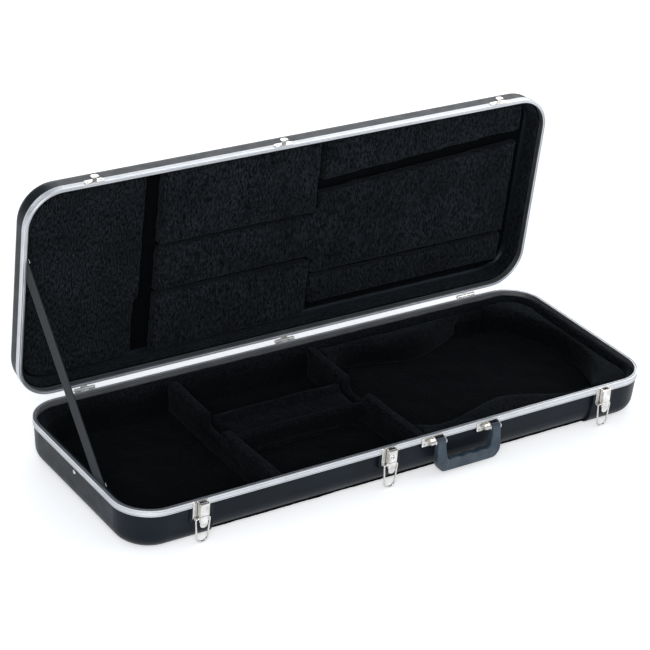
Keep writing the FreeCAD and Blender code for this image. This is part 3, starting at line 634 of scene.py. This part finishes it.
def make_strap(material):
    base_low, base_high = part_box("strap_base_screw")
    lid_low, lid_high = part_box("strap_lid_screw")
    low, high = (base_low + base_high) / 2, (lid_low + lid_high) / 2
    band_low, band_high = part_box("stay_strap")
    middle = (band_low.x + band_high.x) / 2
    low.x = high.x = middle
    along = (high - low).normalized()
    side = along.cross(Vector((1, 0, 0)))
    start, end = low - along * STRAP_TAIL, high + along * STRAP_TAIL
    length = (end - start).length
    section = strap_profile()
    mesh = bpy.data.meshes.new("stay_strap_webbing")
    build = bmesh.new()
    rings = []
    for i in range(STRAP_STEPS + 1):
        at = start + along * (length * i / STRAP_STEPS)
        rings.append([build.verts.new(at + side * w + Vector((t, 0, 0))) for w, t in section])
    count = len(section)
    layer = build.loops.layers.uv.new("weave")
    for i in range(STRAP_STEPS):
        for k in range(count):
            quad = (rings[i][k], rings[i][(k + 1) % count], rings[i + 1][(k + 1) % count], rings[i + 1][k])
            face = build.faces.new(quad)
            spots = ((i, k), (i, k + 1), (i + 1, k + 1), (i + 1, k))
            for loop, (a, b) in zip(face.loops, spots):
                loop[layer].uv = (length * a / STRAP_STEPS, b * 2 * STRAP_W / count)
    build.faces.new(rings[0][::-1])
    build.faces.new(rings[-1])
    bmesh.ops.recalc_face_normals(build, faces=build.faces)
    build.to_mesh(mesh)
    build.free()
    smooth_shading(mesh)
    strap = new_piece("stay_strap_webbing", mesh, material)
    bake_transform(strap, "base", "lid", start=low, end=high)
    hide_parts("stay_strap")


def make_grip(material):
    """The moulded grip, its edges rolled and its upper side waved for the fingers."""
    piece = rounded(["handle_grip"], "handle_grip_moulded", material, GRIP_VOXEL, GRIP_PASSES)
    low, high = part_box("handle_grip")
    centre = (low.x + high.x) / 2
    mesh = piece.data
    points = points_of(mesh)
    share = np.clip((points[:, 0] - centre) / GAP_HALF, -1, 1)
    wave = 0.5 + 0.5 * np.cos(share * WAVE_COUNT * 2 * math.pi)
    fade = np.clip(1 - np.abs(share) ** 6, 0, 1)
    depth = BAR_TOP - points[:, 2]
    upper = np.clip(1.6 - depth / WAVE_REACH, 0, 1) * (depth > -WAVE_REACH)
    points[:, 2] += WAVE_H * (wave - 0.5) * fade * upper
    move_points(mesh, points)
    smooth_shading(mesh)
    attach(piece, "handle")
    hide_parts("handle_grip")


# ---------------------------------------------------------------- frame finishes

def dress_frame(finishes):
    """Gives each shown CAD node its slot's finish, in the lid's axes where it is on the lid."""
    on_lid = {o for o in frame["nodes"] if body_of(frame["nodes"][o]) == ["lid"]}
    slots = {part["node"]: part["material_slot"] for part in frame["record"]["subparts"]}
    for node, piece in frame["nodes"].items():
        pair = finishes[slots[node]]
        material = pair[node in on_lid]
        if not piece.material_slots:
            piece.data.materials.append(material)
        for slot in piece.material_slots:
            slot.material = material


# ---------------------------------------------------------------- studio

def area_light(name, place, aim, size, power):
    light = bpy.data.lights.new(name, "AREA")
    light.shape = "RECTANGLE"
    light.size, light.size_y = size
    light.energy = power
    lamp = bpy.data.objects.new(name, light)
    lamp.location = place
    lamp.rotation_euler = (Vector(aim) - Vector(place)).to_track_quat("-Z", "Y").to_euler()
    bpy.context.scene.collection.objects.link(lamp)


def make_floor():
    build = bmesh.new()
    bmesh.ops.create_grid(build, x_segments=2, y_segments=2, size=FLOOR_HALF)
    mesh = bpy.data.meshes.new("studio_floor")
    build.to_mesh(mesh)
    build.free()
    f = Finish("studio_paper", {"Roughness": 0.9, "Specular IOR Level": 0.2})
    f.set("Base Color", f.tint(f.noise(2.0, 2), *PAPER))
    f.set("Emission Color", f.tint(f.noise(1.3, 1), *PAPER_LIT))
    f.set("Emission Strength", FLOOR_GLOW)
    floor = new_piece("studio_floor", mesh, f.material)
    floor.location.z = -FLOOR_DROP


def make_sky(scene):
    """A studio that is dim near the floor and bright and cool overhead."""
    world = bpy.data.worlds.new("studio")
    world.use_nodes = True
    nodes, links = world.node_tree.nodes, world.node_tree.links
    split = nodes.new("ShaderNodeSeparateXYZ")
    ramp = nodes.new("ShaderNodeValToRGB")
    links.new(nodes.new("ShaderNodeTexCoord").outputs["Generated"], split.inputs["Vector"])
    links.new(split.outputs["Z"], ramp.inputs["Fac"])
    links.new(ramp.outputs["Color"], nodes["Background"].inputs["Color"])
    ramp.color_ramp.elements[0].color = (*SKY_LOW, 1)
    ramp.color_ramp.elements[1].color = (*SKY_HIGH, 1)
    nodes["Background"].inputs["Strength"].default_value = SKY_STRENGTH
    scene.world = world


def make_studio():
    scene = bpy.context.scene
    scene.view_settings.view_transform = "Standard"
    make_sky(scene)
    for lamp in LAMPS:
        area_light(*lamp)
    make_floor()


def make_camera():
    lens = bpy.data.cameras.new("camera")
    lens.lens = CAMERA_LENS
    lens.sensor_width = CAMERA_SENSOR
    camera = bpy.data.objects.new("camera", lens)
    yaw = Matrix.Rotation(math.radians(CAMERA_AZIMUTH), 4, "Z")
    pitch = Matrix.Rotation(math.radians(90 - CAMERA_ELEVATION), 4, "X")
    roll = Matrix.Rotation(math.radians(CAMERA_ROLL), 4, "Z")
    camera.matrix_world = Matrix.Translation(CAMERA_PLACE) @ yaw @ pitch @ roll
    bpy.context.scene.collection.objects.link(camera)
    bpy.context.scene.camera = camera


# ---------------------------------------------------------------- the case

# The base's plush is a copy of the lid's with its tip colour dimmed, which paints the shade of the base
# interior
plush = [plush_finish("plush_base_shaded", False, BASE_SHADE_TIPS), plush_finish("plush_lid", True, 1.0)]
nickel, steel, grip, webbing = nickel_finish(), steel_finish(), grip_finish(), webbing_finish()
dress_frame({
    "plush": plush,
    "shell": [shell_finish("shell_base", False), shell_finish("shell_lid", True)],
    "valance": [valance_finish("valance_base", False), valance_finish("valance_lid", True)],
    "nickel": [nickel, nickel],
    "steel": [steel, steel],
    "grip": [grip, grip],
    "webbing": [webbing, webbing],
})
make_wall_lining(plush[0])
make_pads(BASE_PADS, "base", plush[0])
make_pads(LID_PADS, "lid", plush[1])
# The floor and ceiling sheets get a darker plush copy: painted shade for the deep channels and compartments
lining_sheet("base_floor_pad", "base", plush_finish("plush_floor_shaded", False, RECESS_SHADE_TIPS))
lining_sheet("lid_top_pad", "lid", plush_finish("plush_ceiling_shaded", True, RECESS_SHADE_TIPS))
make_strap(webbing)
make_grip(grip)
make_studio()
make_camera()
